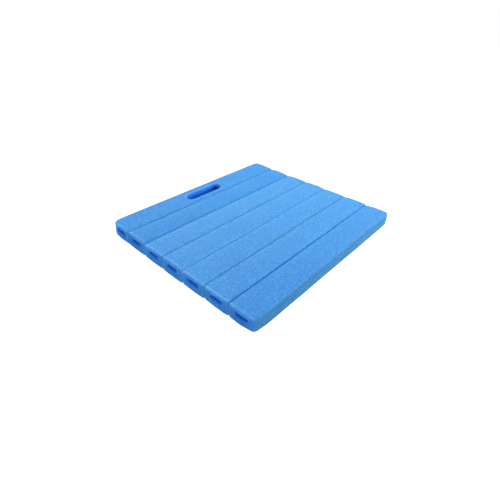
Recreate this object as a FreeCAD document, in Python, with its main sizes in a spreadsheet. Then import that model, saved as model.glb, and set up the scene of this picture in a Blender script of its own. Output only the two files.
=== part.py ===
import FreeCAD, Part
import os

import Sketcher

# Foam pad for a pond filter: seven slats of open-cell foam, joined edge to edge
# by thin bonded webs. Each slat has one flat water channel along its whole
# length, and slat 1 has a finger slot down through it.
#
# Frame: X along the slats, Y across them with slat 1 at the high end, Z up.
# The origin is at the middle of the underside. All sizes are millimetres.

SLAT_COUNT = 7
MIDDLE_SLAT = 4

# alias, value or formula, what it is
DIMENSIONS = (
    ("slat_length", "400", "every slat, along X"),
    ("slat_width", "50.4", "one slat, along Y"),
    ("slat_depth", "28", "thickness of the pad, along Z"),
    ("seam_gap", "0.8", "slit between two neighbouring slats"),
    ("arris_radius", "2.4", "rounding of the top and bottom edges"),
    ("seam_corner_radius", "2.6", "plan rounding of a slat's end beside a seam"),
    ("pad_corner_radius", "6", "plan rounding of the pad's four corners"),
    ("channel_width", "23", "water channel, along Y"),
    ("channel_height", "7", "water channel, along Z"),
    ("channel_level", "16", "water channel's middle above the underside"),
    ("mouth_rim_radius", "2.5", "rounding of the water channel's mouths"),
    ("grip_length", "90", "finger slot, over its round ends"),
    ("grip_width", "22", "finger slot, between its walls"),
    ("grip_offset", "3", "finger slot and its slat's channel, from the centre line to the seam"),
    ("grip_rim_radius", "2.4", "rounding of the finger slot's rims"),
    ("web_height", "3", "bonded web, along Z"),
    ("pitch", "=slat_width + seam_gap", "one slat's centre line to the next"),
    ("web_length", "=slat_length - 2 * seam_corner_radius", "bonded web, along X"),
    ("web_base", "=slat_depth - arris_radius - web_height", "web above the underside"),
)

doc = FreeCAD.newDocument("filter_pad")
sheet = doc.addObject("Spreadsheet::Sheet", "sizes")
for row, (alias, value, meaning) in enumerate(DIMENSIONS, start=1):
    sheet.set(f"A{row}", alias)
    sheet.set(f"B{row}", value)
    sheet.set(f"C{row}", meaning)
    sheet.setAlias(f"B{row}", alias)
doc.recompute()


def size(alias):
    """The value of a sheet cell, in millimetres."""
    return float(sheet.get(alias))


def sketch_on(body, plane_role, name):
    """A new sketch on one of the body's own origin planes."""
    plane = next(p for p in body.Origin.OriginFeatures if p.Role == plane_role)
    sketch = body.newObject("Sketcher::SketchObject", name)
    sketch.AttachmentSupport = (plane, "")
    sketch.MapMode = "FlatFace"
    return sketch


def hold(sketch, *constraint):
    """Adds a constraint that has no size."""
    sketch.addConstraint(Sketcher.Constraint(*constraint))


def bind(sketch, formula, *constraint, start=1.0):
    """Adds a constraint whose size comes from the sheet."""
    index = sketch.addConstraint(Sketcher.Constraint(*constraint, start))
    sketch.setExpression(f"Constraints[{index}]", formula)


def draw_rectangle(sketch, width, height, across="0", up="0"):
    """A rectangle whose middle is at across and up from the sketch's origin.

    The sizes are formulas. Points 1 and 2 of an edge are its ends, and point 1
    of geometry -1 is the sketch's origin.
    """
    corners = [FreeCAD.Vector(x, y, 0) for x, y in ((-9, -9), (9, -9), (9, 9), (-9, 9))]
    bottom, right, top, left = (
        sketch.addGeometry(Part.LineSegment(a, b))
        for a, b in zip(corners, corners[1:] + corners[:1])
    )
    for edge, following in ((bottom, right), (right, top), (top, left), (left, bottom)):
        hold(sketch, "Coincident", edge, 2, following, 1)
    hold(sketch, "Horizontal", bottom)
    hold(sketch, "Horizontal", top)
    hold(sketch, "Vertical", left)
    hold(sketch, "Vertical", right)
    bind(sketch, width, "DistanceX", bottom, 1, bottom, 2, start=18)
    bind(sketch, height, "DistanceY", right, 1, right, 2, start=18)
    bind(sketch, f"{across} - ({width}) / 2", "DistanceX", -1, 1, bottom, 1, start=-9)
    bind(sketch, f"{up} - ({height}) / 2", "DistanceY", -1, 1, bottom, 1, start=-9)


def draw_grip_outline(sketch):
    """The finger slot's outline: two straight sides and two half-circle ends."""
    half_run = (size("grip_length") - size("grip_width")) / 2
    radius = size("grip_width") / 2
    middle = -size("grip_offset")
    up = FreeCAD.Vector(0, radius, 0)
    centres = [FreeCAD.Vector(x, middle, 0) for x in (-half_run, half_run)]
    low = sketch.addGeometry(Part.LineSegment(centres[0] - up, centres[1] - up))
    high = sketch.addGeometry(Part.LineSegment(centres[1] + up, centres[0] + up))
    ends = []
    for centre, side in zip(centres, (-1, 1)):
        tip = centre + FreeCAD.Vector(side * radius, 0, 0)
        ends.append(sketch.addGeometry(Part.Arc(centre + up * side, tip, centre - up * side)))
    near, far = ends
    # An arc's own ends run anticlockwise, whichever way its points were given.
    for line, line_end, arc, arc_end in (
        (low, 1, near, 2), (low, 2, far, 1), (high, 1, far, 2), (high, 2, near, 1)
    ):
        hold(sketch, "Tangent", line, line_end, arc, arc_end)
    hold(sketch, "Horizontal", low)
    bind(sketch, "sizes.grip_width / 2", "Radius", near, start=radius)
    bind(sketch, "sizes.grip_length - sizes.grip_width", "DistanceX", near, 3, far, 3,
         start=2 * half_run)
    bind(sketch, "-(sizes.grip_length - sizes.grip_width) / 2", "DistanceX", -1, 1, near, 3,
         start=-half_run)
    bind(sketch, "-sizes.grip_offset", "DistanceY", -1, 1, near, 3, start=middle)


def round_edges(body, base, name, alias, wanted):
    """Rounds the edges of the base feature whose middle point is wanted."""
    found = [
        f"Edge{number}"
        for number, edge in enumerate(base.Shape.Edges, start=1)
        if wanted(edge.BoundBox.Center, edge.BoundBox)
    ]
    fillet = body.newObject("PartDesign::Fillet", name)
    fillet.Base = (base, found)
    fillet.setExpression("Radius", f"sizes.{alias}")
    doc.recompute()
    return fillet


def cut_through(body, sketch, name):
    """A pocket right through the body, both ways from its sketch."""
    before = body.Shape.Volume
    pocket = body.newObject("PartDesign::Pocket", name)
    pocket.Profile = sketch
    pocket.Type = "ThroughAll"
    pocket.Midplane = True
    doc.recompute()
    if not body.Shape.Volume < before:
        raise RuntimeError(f"{name} cut nothing")
    return pocket


def make_slat(number):
    """One foam slat, in its own place in the pad."""
    body = doc.addObject("PartDesign::Body", f"slat_{number}")
    body.Label = f"foam_slat_{number}"
    body.setExpression("Placement.Base.y", f"sizes.pitch * ({MIDDLE_SLAT - number})")

    plan = sketch_on(body, "XY_Plane", f"plan_{number}")
    draw_rectangle(plan, "sizes.slat_length", "sizes.slat_width")
    block = body.newObject("PartDesign::Pad", f"block_{number}")
    block.Profile = plan
    block.setExpression("Length", "sizes.slat_depth")
    doc.recompute()

    # The pad's own corners are at the outer side of the first and last slat.
    outer_side = {1: 1, SLAT_COUNT: -1}.get(number, 0)
    depth = size("slat_depth")
    feature = round_edges(
        body, block, f"seam_corners_{number}", "seam_corner_radius",
        lambda middle, box: box.ZLength > depth / 2 and middle.y * outer_side <= 0,
    )
    if outer_side:
        feature = round_edges(
            body, feature, f"pad_corners_{number}", "pad_corner_radius",
            lambda middle, box: (
                box.ZLength > depth / 2
                and box.XLength < 1e-6
                and abs(middle.y - outer_side * size("slat_width") / 2) < 1e-6
            ),
        )
    feature = round_edges(
        body, feature, f"arrises_{number}", "arris_radius",
        lambda middle, box: box.ZLength < 1e-6,
    )

    mouth = sketch_on(body, "YZ_Plane", f"channel_mouth_{number}")
    across = "-sizes.grip_offset" if number == 1 else "0"
    draw_rectangle(
        mouth, "sizes.channel_width", "sizes.channel_height", across, "sizes.channel_level"
    )
    feature = cut_through(body, mouth, f"channel_{number}")
    channel_y = -size("grip_offset") if number == 1 else 0
    feature = round_edges(
        body, feature, f"mouth_rims_{number}", "mouth_rim_radius",
        lambda middle, box: (
            box.XLength < 1e-6
            and abs(abs(middle.x) - size("slat_length") / 2) < 1e-6
            and abs(middle.y - channel_y) < size("channel_width") / 2 + 1e-6
            and abs(middle.z - size("channel_level")) < size("channel_height") / 2 + 1e-6
        ),
    )

    if number == 1:
        outline = sketch_on(body, "XY_Plane", "grip_outline")
        draw_grip_outline(outline)
        feature = cut_through(body, outline, "grip_slot")
        reach = size("grip_length") / 2 + 1
        round_edges(
            body, feature, "grip_rims", "grip_rim_radius",
            lambda middle, box: (
                box.ZLength < 1e-6
                and min(middle.z, depth - middle.z) < 1e-6
                and box.XMin > -reach
                and box.XMax < reach
            ),
        )
    return body


def make_web(number):
    """The bonded web between one slat and the next, just under the top arris."""
    following = number + 1
    web = doc.addObject("Part::Box", f"web_{number}")
    web.Label = f"seam_web_{number}_{following}"
    seam = f"sizes.pitch * ({MIDDLE_SLAT - number} - 0.5)"
    web.setExpression("Length", "sizes.web_length")
    web.setExpression("Width", "sizes.seam_gap")
    web.setExpression("Height", "sizes.web_height")
    web.setExpression("Placement.Base.x", "-sizes.web_length / 2")
    web.setExpression("Placement.Base.y", f"{seam} - sizes.seam_gap / 2")
    web.setExpression("Placement.Base.z", "sizes.web_base")
    return web


pieces = [make_slat(number) for number in range(1, SLAT_COUNT + 1)]
pieces += [make_web(number) for number in range(1, SLAT_COUNT)]
doc.recompute()

for item in doc.Objects:
    if {"Invalid", "Error"} & set(item.State):
        raise RuntimeError(f"{item.Label} is {item.State}")

os.makedirs("parts", exist_ok=True)
for piece in pieces:
    shape = piece.Shape
    if shape.isNull() or not shape.isValid() or len(shape.Solids) != 1:
        raise RuntimeError(f"{piece.Label} isn't one valid solid")
    shape.exportStep(f"parts/{piece.Label}.step")
    box = shape.BoundBox
    print(
        f"{piece.Label}: {box.XLength:.1f} x {box.YLength:.1f} x {box.ZLength:.1f} mm,"
        f" {shape.Volume / 1000:.1f} cm3, middle y {box.Center.y:.1f}"
    )
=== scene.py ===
import math

import bmesh
import bpy
import numpy as np
from mathutils import Matrix, Vector, noise


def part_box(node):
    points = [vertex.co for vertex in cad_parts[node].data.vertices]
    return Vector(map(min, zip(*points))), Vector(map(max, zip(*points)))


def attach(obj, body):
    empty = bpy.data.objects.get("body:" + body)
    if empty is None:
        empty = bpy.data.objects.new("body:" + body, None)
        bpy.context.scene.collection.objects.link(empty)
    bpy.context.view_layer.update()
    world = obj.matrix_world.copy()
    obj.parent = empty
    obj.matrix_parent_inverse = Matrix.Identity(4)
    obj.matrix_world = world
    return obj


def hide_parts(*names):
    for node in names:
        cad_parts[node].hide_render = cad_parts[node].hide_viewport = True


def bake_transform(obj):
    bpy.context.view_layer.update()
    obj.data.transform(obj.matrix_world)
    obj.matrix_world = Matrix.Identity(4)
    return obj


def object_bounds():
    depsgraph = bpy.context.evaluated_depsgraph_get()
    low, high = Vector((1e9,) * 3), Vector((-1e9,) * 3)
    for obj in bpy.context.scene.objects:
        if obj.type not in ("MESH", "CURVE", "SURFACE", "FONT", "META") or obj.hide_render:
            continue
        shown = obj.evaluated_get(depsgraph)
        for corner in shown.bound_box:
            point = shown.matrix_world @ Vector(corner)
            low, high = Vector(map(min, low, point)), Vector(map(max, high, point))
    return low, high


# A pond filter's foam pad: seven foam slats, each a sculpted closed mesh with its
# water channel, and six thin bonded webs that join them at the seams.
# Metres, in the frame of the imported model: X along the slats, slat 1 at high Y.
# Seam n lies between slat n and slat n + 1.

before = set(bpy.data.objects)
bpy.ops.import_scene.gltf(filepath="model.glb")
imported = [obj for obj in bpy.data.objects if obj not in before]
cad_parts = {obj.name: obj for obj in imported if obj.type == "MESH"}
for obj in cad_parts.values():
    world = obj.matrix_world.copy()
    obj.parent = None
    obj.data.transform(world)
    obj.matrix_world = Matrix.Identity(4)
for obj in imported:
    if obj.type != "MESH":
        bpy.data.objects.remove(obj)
cad_low, cad_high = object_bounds()
scene = bpy.context.scene

MM = 0.001
SLATS = range(1, 8)
SEAMS = range(1, 7)
SLAT_BOX = {n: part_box(f"foam_slat_{n}") for n in SLATS}
TOP = cad_high.z

# the slats' own sizes
ARRIS = 2.4 * MM                    # rounding of the long edges
CHANNEL_LEVEL = 16 * MM             # middle of the water channels above the ground
GRIP_OFFSET = 3 * MM                # finger slot and its channel, from the slat's middle
GRIP_Y = (SLAT_BOX[1][0].y + SLAT_BOX[1][1].y) / 2 - GRIP_OFFSET
GRIP_RADIUS = 11 * MM               # the finger slot's round ends
GRIP_RUN = 34 * MM                  # from the slot's middle to the centre of an end

# ---- how the foam is sculpted ----

VOXEL = 1.25 * MM                   # spacing of the foam's mesh
SAME_POINT = 0.01 * MM              # CAD points nearer than this are merged first

# how far the foam has swollen into each seam's top, from 0 (not) to 1 (full)
SEAM_FILL = {1: 0.77, 2: 0.79, 3: 0.86, 4: 0.74, 5: 0.86, 6: 0.30}
SWELL_FADE = 1.5 * ARRIS            # the swelling fades out over this, past the arris

# how far each seam draws the top down at its low and at its high Y side, in mm
SHOULDER_DROP = {
    1: (3.2, 1.9), 2: (3.9, 2.0), 3: (2.6, 1.4), 4: (2.2, 1.3), 5: (2.0, 0.7), 6: (2.2, 0.4),
}
SHOULDER_REACH = 7.0 * MM           # how far from a seam the top is drawn down
SHOULDER_FOOT = 0.5 * TOP           # nothing below this is drawn down
SHOULDER_RISE = 0.4 * TOP           # and everything this much higher is, in full

END_REACH = 30 * MM                 # how far from a slat's end the end's shape reaches
END_BULGE = 0.7 * MM                # middle of a slat's end beyond its corners
# how far each slat's low and high X ends are moved along X, in mm
END_OFFSET = {
    1: (-0.8, 0.3), 2: (0.3, -0.5), 3: (-0.3, 0.2), 4: (0.2, 0.5),
    5: (-0.4, -0.3), 6: (0.1, 0.4), 7: (0.3, -0.4),
}
# how far the foot of each slat's low X end stands beyond its top, in mm
END_FOOT = {1: 0.8, 2: 2.0, 3: 1.5, 4: 2.2, 5: 0.8, 6: 0.4, 7: 0.0}

SIDE_BULGE = 1.2 * MM               # outer sides of the first and last slat
SIDE_PINCH = 0.3                    # share of the bulge by which their edges are drawn in
SIDE_START = 0.7                    # where the bulge starts, as a share of half a slat's width

# how far each corner of the pad is drawn in at its top and foot, and lifted, in mm:
# the keys are the slat and its end, -1 at low X and 1 at high X
CORNER_DRAW = {
    (1, -1): (2.4, 1.0, 0.0), (1, 1): (0.8, 0.8, 0.0),
    (7, -1): (0.0, 1.9, 0.9), (7, 1): (0.8, 0.4, 0.0),
}
CORNER_TOP_REACH = 18 * MM
CORNER_FOOT_REACH = 32 * MM

SEAM_SWAY = 0.7 * MM                # how far a seam wanders sideways
SWAY_LENGTH = 60 * MM
SWAY_STATIONS = 101                 # places along a seam where its sway is worked out
SWAY_NOISE = (2.3, 8.5)             # the noise's step from seam to seam, and its plane

WAVE = 0.25 * MM                    # slow unevenness of every face
WAVE_LENGTH = 45 * MM
LUMP = 0.16 * MM                    # the foam's own lumps, two or three pores across
LUMP_LENGTH = 3.9 * MM
PORE_CELL = 2.3 * MM                # pores that are cut into the mesh itself
PORE_DEPTH = 0.36 * MM
PORE_WALL = 0.55                    # width of the slope into a pore, in pore cells
NOISE_STEP = (13.7, 5.3, 9.1)       # the noise is read this far on from slat to slat

# ---- how the foam is tinted with painted light and shade ----

# painted light and shade: tints that the foam's colour is multiplied by
CHANNEL_PAINTED_SHADE = (0.10, 0.28, 0.86)   # painted shade on the walls of the water channels
MOUTH_PAINTED_SHADE = (0.4, 0.88, 1.22)      # painted shade, bluer and with less red, on the same walls from the mouths' rims inwards
GRIP_PAINTED_LIGHT = (1.00, 1.20, 1.15)      # painted light on the walls of the finger slot
POCKET_PAINTED_SHADE = (0.6, 0.85, 0.85)     # painted shade on foam at the channel's height near the finger slot
RIM_PAINTED_HIGHLIGHT = (2.6, 1.32, 1.20)        # painted highlight on the top rim of the finger slot
SIDE_PAINTED_LIGHT = (1.33, 1.07, 0.83)      # painted light, paler and less blue, on the pad's long outer sides
ARRIS_PAINTED_HIGHLIGHT = (2.1, 1.42, 1.20)      # painted highlight on the top and upright edges of the slats' ends

# where the tints change: the distance where each change starts, and how far it goes on
CHANNEL_Z = (3.3 * MM, 1.2 * MM)    # above or below the channel's middle
CHANNEL_Y = (10.5 * MM, 2.0 * MM)   # to either side of the channel's middle
MOUTH_X = (0.2 * MM, 1.5 * MM)      # inwards from the slat's end
DEEP_X = (2.0 * MM, 4.0 * MM)       # the same
EDGE_ZONE = (0.0, 6.5 * MM)         # from an edge of the slat's end
SIDE_Y = (cad_high.y - 2.5 * MM, 2.0 * MM)   # outwards from the pad's middle
SLOT_WALL = (0.3 * MM, 1.5 * MM)    # away from the finger slot's wall
SLOT_TOP = (0.0, 2.5 * MM)          # down from the top
RIM_MIDDLE = 1.4 * MM               # the rim's middle line, away from the wall
RIM_ZONE = (0.0, 2.6 * MM)          # to either side of that line
POCKET_ZONE = (2.0 * MM, 25 * MM)   # away from the finger slot's wall


def smooth_step(x):
    """0 below 0, 1 above 1, and smooth between."""
    t = np.clip(x, 0, 1)
    return t * t * (3 - 2 * t)


def beyond(distance, start, length):
    """0 up to start, 1 from start + length on, and smooth between."""
    return smooth_step((distance - start) / length)


def within(distance, start, length):
    """1 up to start, 0 from start + length on, and smooth between."""
    return 1 - beyond(distance, start, length)


def points_of(mesh):
    """A mesh's points, one row each."""
    flat = np.empty(len(mesh.vertices) * 3)
    mesh.vertices.foreach_get("co", flat)
    return flat.reshape(-1, 3)


def normals_of(mesh):
    """A mesh's normals at its points, one row each."""
    flat = np.empty(len(mesh.vertices) * 3)
    mesh.vertex_normals.foreach_get("vector", flat)
    return flat.reshape(-1, 3)


def place_points(mesh, points):
    """Moves a mesh's points to new places."""
    mesh.vertices.foreach_set("co", points.ravel())
    mesh.update()


def new_piece(name, mesh):
    """A new object of the scene, with a mesh."""
    piece = bpy.data.objects.new(name, mesh)
    scene.collection.objects.link(piece)
    return piece


def even_mesh(source, voxel):
    """A copy of a closed mesh, rebuilt with even quads of the voxel's size."""
    mesh = source.copy()
    bm = bmesh.new()
    bm.from_mesh(mesh)
    bmesh.ops.remove_doubles(bm, verts=bm.verts, dist=SAME_POINT)
    bm.to_mesh(mesh)
    bm.free()
    mesh.materials.clear()
    temporary = new_piece("temporary", mesh)
    remesh = temporary.modifiers.new("remesh", "REMESH")
    remesh.mode = "VOXEL"
    remesh.voxel_size = voxel
    remesh.adaptivity = 0
    evaluated = temporary.evaluated_get(bpy.context.evaluated_depsgraph_get())
    even = bpy.data.meshes.new_from_object(evaluated)
    bpy.data.objects.remove(temporary)
    bpy.data.meshes.remove(mesh)
    return even


# ---- the foam slats ----


def seams_beside(number):
    """The seams of a slat: each seam's number, its side (1 at high Y) and that side's Y."""
    low, high = SLAT_BOX[number]
    sides = ((number - 1, 1, high.y), (number, -1, low.y))
    return [(seam, side, edge) for seam, side, edge in sides if seam in SEAMS]


def unevenness(seam, x, length, place):
    """Smooth noise along a seam; place is the noise's step from seam to seam, and its plane."""
    step, plane = place
    return noise.noise(Vector((x / length, seam * step, plane)))


def seam_sway(seam, x):
    """How far a seam stands off its straight line at each x."""
    stations = np.linspace(cad_low.x, cad_high.x, SWAY_STATIONS)
    sway = [unevenness(seam, at, SWAY_LENGTH, SWAY_NOISE) for at in stations]
    return SEAM_SWAY * np.interp(x, stations, sway)


def swell_into_seams(y, z, number):
    """Fills the rounded top edges beside the seams with swollen foam."""
    for seam, side, edge in seams_beside(number):
        inset = side * (edge - y)
        depth = TOP - z
        swell = SEAM_FILL[seam] * within(np.maximum(inset, depth), ARRIS, SWELL_FADE)
        y += side * inset * swell
        z += depth * swell


def draw_down_shoulders(y, z, upper, number):
    """Draws the top down beside the seams; upper is 1 at the top and 0 at the foot."""
    for seam, side, edge in seams_beside(number):
        low_side_drop, high_side_drop = SHOULDER_DROP[seam]
        drop = low_side_drop if side == 1 else high_side_drop
        fall = np.exp(-np.abs(y - edge) / SHOULDER_REACH)
        z -= drop * MM * fall * upper


def shape_ends(x, z, across, number):
    """Bulges a slat's ends between its seams, and moves them so that no two end in line."""
    low, high = SLAT_BOX[number]
    low_offset, high_offset = (offset * MM for offset in END_OFFSET[number])
    bulge = END_BULGE * (1 - across**2)
    at_low = smooth_step((low.x + END_REACH - x) / END_REACH)
    at_high = smooth_step((x - high.x + END_REACH) / END_REACH)
    foot = END_FOOT[number] * MM * (1 - z / TOP)
    x += at_high * (high_offset + bulge - END_BULGE / 2)
    x += at_low * (low_offset - bulge + END_BULGE / 2 - foot)


def bulge_outer_side(y, z, across, outward):
    """Bulges the side of the pad at mid height; outward is 1 at high Y and -1 at low Y."""
    crown = 1 - (2 * z / TOP - 1) ** 2
    near_side = beyond(outward * across, SIDE_START, 1 - SIDE_START)
    y += outward * SIDE_BULGE * (crown - SIDE_PINCH) * near_side


def draw_in_corner(x, y, z, end, outward, amounts):
    """Softens one of the pad's own corners."""
    top, foot, lift = (amount * MM for amount in amounts)
    past_x = end * x - cad_high.x
    past_y = outward * y - cad_high.y
    near_top, near_foot = (
        smooth_step(1 + past_x / reach) * smooth_step(1 + past_y / reach)
        for reach in (CORNER_TOP_REACH, CORNER_FOOT_REACH)
    )
    drawn = top * near_top * z / TOP + foot * near_foot * (1 - z / TOP)
    x -= end * drawn
    y -= outward * drawn
    z += lift * near_foot * (1 - z / TOP)


def sculpt_slat(points, number):
    """Turns the plain slat into a soft, slightly uneven one."""
    low, high = SLAT_BOX[number]
    x, y, z = points.T.copy()
    across = (y - (low.y + high.y) / 2) / ((high.y - low.y) / 2)
    upper = beyond(z, SHOULDER_FOOT, SHOULDER_RISE)
    swell_into_seams(y, z, number)
    draw_down_shoulders(y, z, upper, number)
    shape_ends(x, z, across, number)
    for seam, side, _ in seams_beside(number):
        y += np.clip(side * across, 0, 1) * seam_sway(seam, x)
    outward = {SLATS[0]: 1, SLATS[-1]: -1}.get(number)
    if outward:
        bulge_outer_side(y, z, across, outward)
    for (slat, end), amounts in CORNER_DRAW.items():
        if slat == number:
            draw_in_corner(x, y, z, end, outward, amounts)
    return np.stack([x, y, z], axis=1)


def roughen(mesh, number):
    """Slow unevenness and the cut pores of open-cell foam, along the normals."""
    points, normals = points_of(mesh), normals_of(mesh)
    shift = Vector([number * step for step in NOISE_STEP])
    slow = np.array([noise.noise(Vector(p) / WAVE_LENGTH + shift) for p in points])
    lump = np.array([noise.noise(Vector(p) / LUMP_LENGTH - shift) for p in points])
    near = np.array([noise.voronoi(Vector(p) / PORE_CELL + shift)[0][:2] for p in points])
    # 0 on the walls between pores, where the two nearest pores are equally far, and 1 in a pore
    pore = smooth_step((near[:, 1] - near[:, 0]) / PORE_WALL)
    inward = PORE_DEPTH * (pore - 0.5) - WAVE * slow - LUMP * lump
    points = points - normals * inward[:, None]
    points[:, 2] = np.maximum(points[:, 2], 0)
    place_points(mesh, points)


def put_tint(mesh, tint):
    """Stores the tint, the painted light and shade that the foam's colour is multiplied by at each
    point.
    """
    layer = mesh.attributes.new("tint", "FLOAT_VECTOR", "POINT")
    layer.data.foreach_set("vector", tint.ravel())


def wash(tint, colour, amount):
    """Multiplies the tint by a colour, as much as amount says at each point."""
    tint *= 1 + amount[:, None] * (np.array(colour) - 1)


def tint_grip(tint, x, y, z, level):
    """Painted light on the finger slot's walls, a painted highlight on its top rim, and painted
    shade on the channel's mouths in it.
    """
    past_run = np.maximum(np.abs(x) - GRIP_RUN, 0)
    off_wall = np.hypot(past_run, y - GRIP_Y) - GRIP_RADIUS
    wall = within(off_wall, *SLOT_WALL) * beyond(TOP - z, *SLOT_TOP)
    wash(tint, GRIP_PAINTED_LIGHT, wall * (1 - level))
    rim = within(np.abs(off_wall - RIM_MIDDLE), *RIM_ZONE) * within(TOP - z, *SLOT_TOP)
    wash(tint, RIM_PAINTED_HIGHLIGHT, rim)
    wash(tint, POCKET_PAINTED_SHADE, level * within(off_wall, *POCKET_ZONE))


def tint_slat(mesh, number):
    """Painted shade in the channel and the finger slot's pocket, painted light on the slot's walls
    and the outer sides, and painted highlights on the ends' edges and the slot's rim.
    """
    x, y, z = points_of(mesh).T
    low, high = SLAT_BOX[number]
    tint = np.ones((len(x), 3))

    # the water channel, with painted shade; level is 1 at its height
    channel_y = GRIP_Y if number == SLATS[0] else (low.y + high.y) / 2
    from_end = high.x - np.abs(x)
    level = within(np.abs(z - CHANNEL_LEVEL), *CHANNEL_Z)
    channel = level * within(np.abs(y - channel_y), *CHANNEL_Y)
    wash(tint, MOUTH_PAINTED_SHADE, channel * beyond(from_end, *MOUTH_X))
    wash(tint, CHANNEL_PAINTED_SHADE, channel * beyond(from_end, *DEEP_X))

    # painted highlight on the end's top and upright edges
    from_side = np.minimum(y - low.y, high.y - y)
    from_edge = np.maximum(from_end, np.minimum(from_side, TOP - z))
    wash(tint, ARRIS_PAINTED_HIGHLIGHT, within(from_edge, *EDGE_ZONE))

    # painted light on the pad's outer sides, and painted light, highlight and shade in the finger
    # slot
    if number == SLATS[0]:
        wash(tint, SIDE_PAINTED_LIGHT, beyond(y, *SIDE_Y))
        tint_grip(tint, x, y, z, level)
    elif number == SLATS[-1]:
        wash(tint, SIDE_PAINTED_LIGHT, beyond(-y, *SIDE_Y))
    put_tint(mesh, tint)


def foam_slat(number):
    """One slat: an even mesh that is tinted in place, sculpted and then roughened."""
    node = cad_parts[f"foam_slat_{number}"]
    mesh = even_mesh(node.data, VOXEL)
    mesh.name = f"slat_{number}"
    tint_slat(mesh, number)
    place_points(mesh, sculpt_slat(points_of(mesh), number))
    roughen(mesh, number)
    mesh.polygons.foreach_set("use_smooth", [True] * len(mesh.polygons))
    mesh.materials.append(FOAM[number])
    piece = new_piece(f"slat_{number}_foam", mesh)
    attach(piece, f"slat_{number}")
    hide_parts(f"foam_slat_{number}")


# ---- the bonded webs ----

WEB_BITE = 0.5 * MM                 # how far a web reaches into each slat
WEB_STEP = 2.0 * MM                 # spacing of a web's mesh along X
# how far each web's top stands above the CAD web's, in mm
WEB_RISE = {1: 0.3, 2: 0.2, 3: 0.8, 4: 1.5, 5: 0.8, 6: -0.8}
WEB_TOP_WAVE = 0.35 * MM            # unevenness of a web's top edge
WEB_TOP_LENGTH = 7 * MM
WEB_TOP_NOISE = (3.1, 0.5)
WEB_FOOT_WAVE = 0.45 * MM           # unevenness of a web's foot
WEB_FOOT_LENGTH = 5 * MM
WEB_FOOT_NOISE = (7.7, 4.5)


def web_ring(bm, x, number, low, high):
    """The points of a web's cross-section at x, in order round it."""
    rise = WEB_TOP_WAVE * unevenness(number, x, WEB_TOP_LENGTH, WEB_TOP_NOISE)
    rise += WEB_RISE[number] * MM
    sag = WEB_FOOT_WAVE * unevenness(number, x, WEB_FOOT_LENGTH, WEB_FOOT_NOISE)
    sway = float(seam_sway(number, x))
    across = (low.y - WEB_BITE, low.y, (low.y + high.y) / 2, high.y, high.y + WEB_BITE)
    top = [bm.verts.new((x, y + sway, high.z + rise)) for y in across]
    foot = [bm.verts.new((x, y + sway, low.z + sag)) for y in reversed(across)]
    return top + foot


def web_mesh(number, low, high):
    """A closed strip along the seam, from one end of the CAD web to the other."""
    bm = bmesh.new()
    steps = round((high.x - low.x) / WEB_STEP)
    rings = [
        web_ring(bm, low.x + (high.x - low.x) * step / steps, number, low, high)
        for step in range(steps + 1)
    ]
    for ring, following in zip(rings, rings[1:]):
        for k in range(len(ring)):
            after = (k + 1) % len(ring)
            bm.faces.new((ring[k], following[k], following[after], ring[after]))
    bm.faces.new(rings[0])
    bm.faces.new(reversed(rings[-1]))
    bmesh.ops.recalc_face_normals(bm, faces=bm.faces)
    mesh = bpy.data.meshes.new(f"web_{number}")
    bm.to_mesh(mesh)
    bm.free()
    return mesh


def seam_web(number):
    """The thin bonded strip between a slat and the next, along the seam."""
    name = f"seam_web_{number}_{number + 1}"
    low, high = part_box(name)
    mesh = web_mesh(number, low, high)
    put_tint(mesh, np.ones((len(mesh.vertices), 3)))
    mesh.materials.append(SEAM_FOAM[number])
    piece = new_piece(f"web_{number}_{number + 1}_foam", mesh)
    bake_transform(piece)
    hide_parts(name)


# ---- materials ----

# colours of the pores and of the struts between them
FOAM_PORE = (0.0085, 0.16, 0.715)
FOAM_STRUT = (0.036, 0.345, 0.83)
FOAM_SHADE = 0.67                   # brightness of the foam's darkest grains
# the seam webs' foam is set bluer and lighter than the slats': painted light against the shade in
# the seams
SEAM_PORE = (0.003, 0.15, 0.80)
SEAM_STRUT = (0.016, 0.32, 0.96)
SEAM_SHADE = 0.80
LEVEL_FACE_PAINTED_SHEEN = (2.5, 1.21, 0.98, 1)    # painted sheen, paler and with more red, on faces that look up or down
SHEEN_TINT = (0.4, 0.85, 1.0, 1)
# each slat's foam is set a little lighter or darker, slats 1, 2 and 7 darker than the rest; each
# seam web is set lighter or darker as painted light and shade in its seam
SLAT_TONE = {1: 0.92, 2: 0.91, 3: 1.04, 4: 1.035, 5: 1.03, 6: 1.02, 7: 0.97}
SEAM_PAINTED_SHADING = {1: 1.0, 2: 1.08, 3: 1.12, 4: 1.3, 5: 1.0, 6: 0.75}
CELL = 1.7 * MM                     # one cell of the foam
GRAIN = 3.5 * MM                    # two or three cells that stand out together
DRIFT = 45 * MM                     # slow change of colour along a slat
GLOW_DEPTH = 12 * MM                # how far light spreads inside the foam
GLOW_SHARES = (0.06, 0.35, 1.0)     # of that depth, for red, green and blue light
BUMP_HEIGHT = 0.6 * MM              # of the cells and the grain, in the shading only


def material(name):
    """A new material, its shader, a function that adds a node and one that links two."""
    made = bpy.data.materials.new(name)
    made.use_nodes = True
    tree = made.node_tree
    shader = tree.nodes["Principled BSDF"]

    def add(kind, **settings):
        node = tree.nodes.new(kind)
        for key, value in settings.items():
            if key.startswith("in_"):
                node.inputs[key[3:].replace("_", " ")].default_value = value
            else:
                setattr(node, key, value)
        return node

    return made, shader, add, tree.links.new


def ramp(add, link, source, stops):
    """A colour ramp fed by source; stops are (position, colour)."""
    node = add("ShaderNodeValToRGB")
    elements = node.color_ramp.elements
    for element, (position, colour) in zip(elements, stops):
        element.position = position
        element.color = (*colour, 1)
    link(source, node.inputs["Fac"])
    return node.outputs["Color"]


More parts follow.
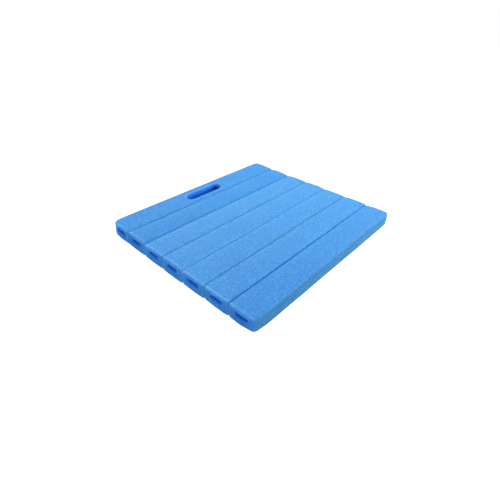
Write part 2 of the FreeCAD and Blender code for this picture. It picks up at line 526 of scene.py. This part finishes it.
def multiply(add, link, first, second, factor=1.0):
    """The product of two colours. Each of them, and the factor, is a socket or a plain value."""
    node = add("ShaderNodeMix", data_type="RGBA", blend_type="MULTIPLY")
    for place, value in ((0, factor), (6, first), (7, second)):
        if isinstance(value, bpy.types.NodeSocket):
            link(value, node.inputs[place])
        else:
            node.inputs[place].default_value = value
    return node.outputs[2]


def faces_up_or_down(add, link):
    """1 where the foam looks nearly straight up or down, and 0 where it looks sideways."""
    facing = add("ShaderNodeSeparateXYZ")
    link(add("ShaderNodeTexCoord").outputs["Normal"], facing.inputs[0])
    level = add("ShaderNodeMath", operation="ABSOLUTE")
    link(facing.outputs["Z"], level.inputs[0])
    flat = add("ShaderNodeMapRange", interpolation_type="SMOOTHSTEP",
               in_From_Min=0.3, in_From_Max=0.95)
    link(level.outputs[0], flat.inputs["Value"])
    return flat.outputs["Result"]


def foam_relief(shader, add, link, cells, grain):
    """The shader's roughness and bump, from the foam's cells and grain."""
    rough = add("ShaderNodeMapRange", in_From_Min=0.0, in_From_Max=0.35,
                in_To_Min=0.65, in_To_Max=0.95)
    link(cells, rough.inputs["Value"])
    link(rough.outputs["Result"], shader.inputs["Roughness"])
    # the height is the grain's less the distance from the cell's wall
    height = add("ShaderNodeMath", operation="MULTIPLY_ADD")
    height.inputs[1].default_value = -1.0
    link(cells, height.inputs[0])
    link(grain, height.inputs[2])
    bump = add("ShaderNodeBump", in_Strength=0.7, in_Distance=BUMP_HEIGHT)
    link(height.outputs[0], bump.inputs["Height"])
    link(bump.outputs["Normal"], shader.inputs["Normal"])


def foam_material(name, pore, strut, shade, tone, glow):
    """Open-cell foam: dark pores between lighter struts, with slow mottling.

    shade is the brightness of its darkest grains, tone the whole foam's (painted light or shade
    in the seam webs), and glow is how much light spreads inside it, from 0 to 1.
    """
    made, shader, add, link = material(name)
    where = add("ShaderNodeTexCoord").outputs["Object"]
    cells = add("ShaderNodeTexVoronoi", feature="DISTANCE_TO_EDGE", in_Scale=1 / CELL)
    grain = add("ShaderNodeTexNoise", in_Scale=1 / GRAIN, in_Detail=2.0, in_Roughness=0.6)
    broad = add("ShaderNodeTexNoise", in_Scale=1 / DRIFT, in_Detail=2.0)
    for texture in (cells, grain, broad):
        link(where, texture.inputs["Vector"])

    # a dark tone takes more of the red away than of the blue
    tones = (tone**3, tone, tone**0.4)
    pore, strut = (
        tuple(part * channel for part, channel in zip(tones, colour)) for colour in (pore, strut)
    )
    open_cell = ramp(add, link, cells.outputs["Distance"], ((0.04, strut), (0.34, pore)))
    open_cell.node.color_ramp.interpolation = "EASE"
    dark_grain = (shade, shade, shade**0.5)
    speckle = ramp(add, link, grain.outputs["Fac"], ((0.34, dark_grain), (0.66, (1.0, 1.0, 1.0))))
    slow = ramp(add, link, broad.outputs["Fac"], ((0.3, (0.94, 0.95, 0.97)), (0.7, (1.0, 1.0, 1.0))))
    # the tint holds the painted light and shade of the slats
    tint = add("ShaderNodeAttribute", attribute_name="tint").outputs["Vector"]
    colour = multiply(add, link, open_cell, speckle)
    colour = multiply(add, link, colour, slow)
    colour = multiply(add, link, colour, tint)
    # faces that look up or down get a painted sheen
    colour = multiply(add, link, colour, LEVEL_FACE_PAINTED_SHEEN, faces_up_or_down(add, link))
    link(colour, shader.inputs["Base Color"])
    foam_relief(shader, add, link, cells.outputs["Distance"], grain.outputs["Fac"])

    shader.subsurface_method = "RANDOM_WALK"
    shader.inputs["Subsurface Weight"].default_value = glow
    shader.inputs["Subsurface Radius"].default_value = GLOW_SHARES
    shader.inputs["Subsurface Scale"].default_value = GLOW_DEPTH
    shader.inputs["Specular IOR Level"].default_value = 0.35
    # the painted light and shade also tints the specular
    link(tint, shader.inputs["Specular Tint"])
    shader.inputs["Sheen Weight"].default_value = 0.15
    shader.inputs["Sheen Roughness"].default_value = 0.5
    shader.inputs["Sheen Tint"].default_value = SHEEN_TINT
    return made


FOAM = {
    n: foam_material(f"blue_filter_foam_{n}", FOAM_PORE, FOAM_STRUT, FOAM_SHADE,
                     SLAT_TONE[n], glow=1.0)
    for n in SLATS
}
SEAM_FOAM = {
    n: foam_material(f"bonded_seam_foam_{n}", SEAM_PORE, SEAM_STRUT, SEAM_SHADE,
                     SEAM_PAINTED_SHADING[n], glow=0.0)
    for n in SEAMS
}

for slat_number in SLATS:
    foam_slat(slat_number)
for seam_number in SEAMS:
    seam_web(seam_number)

# ---- floor, light and camera ----

GROUND_REFLECTION = 0.30            # of the floor that the camera sees
GROUND_GLOW = 1.0                   # of that floor and the backdrop, which makes them white
BOUNCE_REFLECTION = 0.90            # of the floor that lights the pad from below
BOUNCE_GLOW = 0.1
BOUNCE_DEPTH = 0.3 * MM             # of that floor, below the one that is seen
BACKDROP_RADIUS = 9.0
SKY_STRENGTH = 0.03
CAMERA_PLACE = (-0.4371, -0.3802, 0.3739)
CAMERA_AIM = (-0.0592, -0.0407, 0.0)
CAMERA_ROLL = math.radians(1.51)
CAMERA_LENS = 25.07


def only_seen(piece):
    """Lets the camera see a piece that gives no light and casts no shadow."""
    piece.visible_diffuse = False
    piece.visible_glossy = False
    piece.visible_transmission = False
    piece.visible_volume_scatter = False
    piece.visible_shadow = False


def white_paint(name, reflection, glow):
    """Matt paint that reflects and glows evenly."""
    made, shader, _, _ = material(name)
    shader.inputs["Base Color"].default_value = (reflection, reflection, reflection, 1)
    shader.inputs["Roughness"].default_value = 0.9
    shader.inputs["Specular IOR Level"].default_value = 0.0
    shader.inputs["Emission Color"].default_value = (1, 1, 1, 1)
    shader.inputs["Emission Strength"].default_value = glow
    return made


def backdrop():
    """A plain white dome that the camera sees and that lights nothing."""
    mesh = bpy.data.meshes.new("backdrop")
    bm = bmesh.new()
    bmesh.ops.create_icosphere(bm, subdivisions=4, radius=BACKDROP_RADIUS)
    bm.to_mesh(mesh)
    bm.free()
    mesh.materials.append(white_paint("white_backdrop", 0.0, GROUND_GLOW))
    dome = new_piece("backdrop", mesh)
    only_seen(dome)


def sheet(name, level, paint):
    """A level square as wide as the backdrop."""
    mesh = bpy.data.meshes.new(name)
    signs = ((-1, -1), (1, -1), (1, 1), (-1, 1))
    corners = [(x * BACKDROP_RADIUS, y * BACKDROP_RADIUS, level) for x, y in signs]
    mesh.from_pydata(corners, [], [(0, 1, 2, 3)])
    mesh.materials.append(paint)
    piece = new_piece(name, mesh)
    return piece


def floor():
    """A white floor that the camera sees, and under it a dimmer one that lights the pad."""
    only_seen(sheet("floor", 0, white_paint("white_ground", GROUND_REFLECTION, GROUND_GLOW)))
    bounce_paint = white_paint("bounce_ground", BOUNCE_REFLECTION, BOUNCE_GLOW)
    bounce = sheet("bounce", -BOUNCE_DEPTH, bounce_paint)
    bounce.visible_camera = False


def sky(strength):
    """An even white light from all sides."""
    world = bpy.data.worlds.new("studio")
    scene.world = world
    world.use_nodes = True
    background = world.node_tree.nodes["Background"]
    background.inputs["Color"].default_value = (1, 1, 1, 1)
    background.inputs["Strength"].default_value = strength


def soft_light(name, at, aim, width, height, power):
    """A rectangular soft box at one point, aimed at another."""
    light = bpy.data.lights.new(name, "AREA")
    light.shape = "RECTANGLE"
    light.size = width
    light.size_y = height
    light.energy = power
    lamp = bpy.data.objects.new(name, light)
    scene.collection.objects.link(lamp)
    lamp.location = at
    lamp.rotation_euler = (Vector(aim) - Vector(at)).to_track_quat("-Z", "Y").to_euler()


def photo_camera(at, aim, roll, lens):
    """The scene's camera at one point, aimed at another and rolled about its own axis."""
    camera = bpy.data.cameras.new("camera")
    camera.sensor_width = 36.0
    camera.lens = lens
    camera.clip_start = 0.01
    taker = bpy.data.objects.new("camera", camera)
    scene.collection.objects.link(taker)
    turn = (Vector(aim) - Vector(at)).to_track_quat("-Z", "Y").to_matrix().to_4x4()
    taker.matrix_world = Matrix.Translation(at) @ turn @ Matrix.Rotation(roll, 4, "Z")
    scene.camera = taker


scene.view_settings.view_transform = "Standard"
floor()
backdrop()
sky(SKY_STRENGTH)
soft_light("back", at=(0.5, 1.9, 1.5), aim=(0.0, 0.0, 0.0), width=2.0, height=1.4, power=37)
soft_light("side", at=(1.5, -0.9, 0.9), aim=(0.0, 0.0, 0.0), width=1.2, height=0.9, power=35.5)
soft_light("front", at=(-1.5, -0.1, 1.2), aim=(0.0, 0.0, 0.0), width=1.2, height=0.9, power=13.5)
soft_light("top", at=(0.3, 0.02, 0.8), aim=(0.1, 0.02, 0.0), width=0.7, height=0.7, power=2.3)
photo_camera(CAMERA_PLACE, CAMERA_AIM, CAMERA_ROLL, CAMERA_LENS)
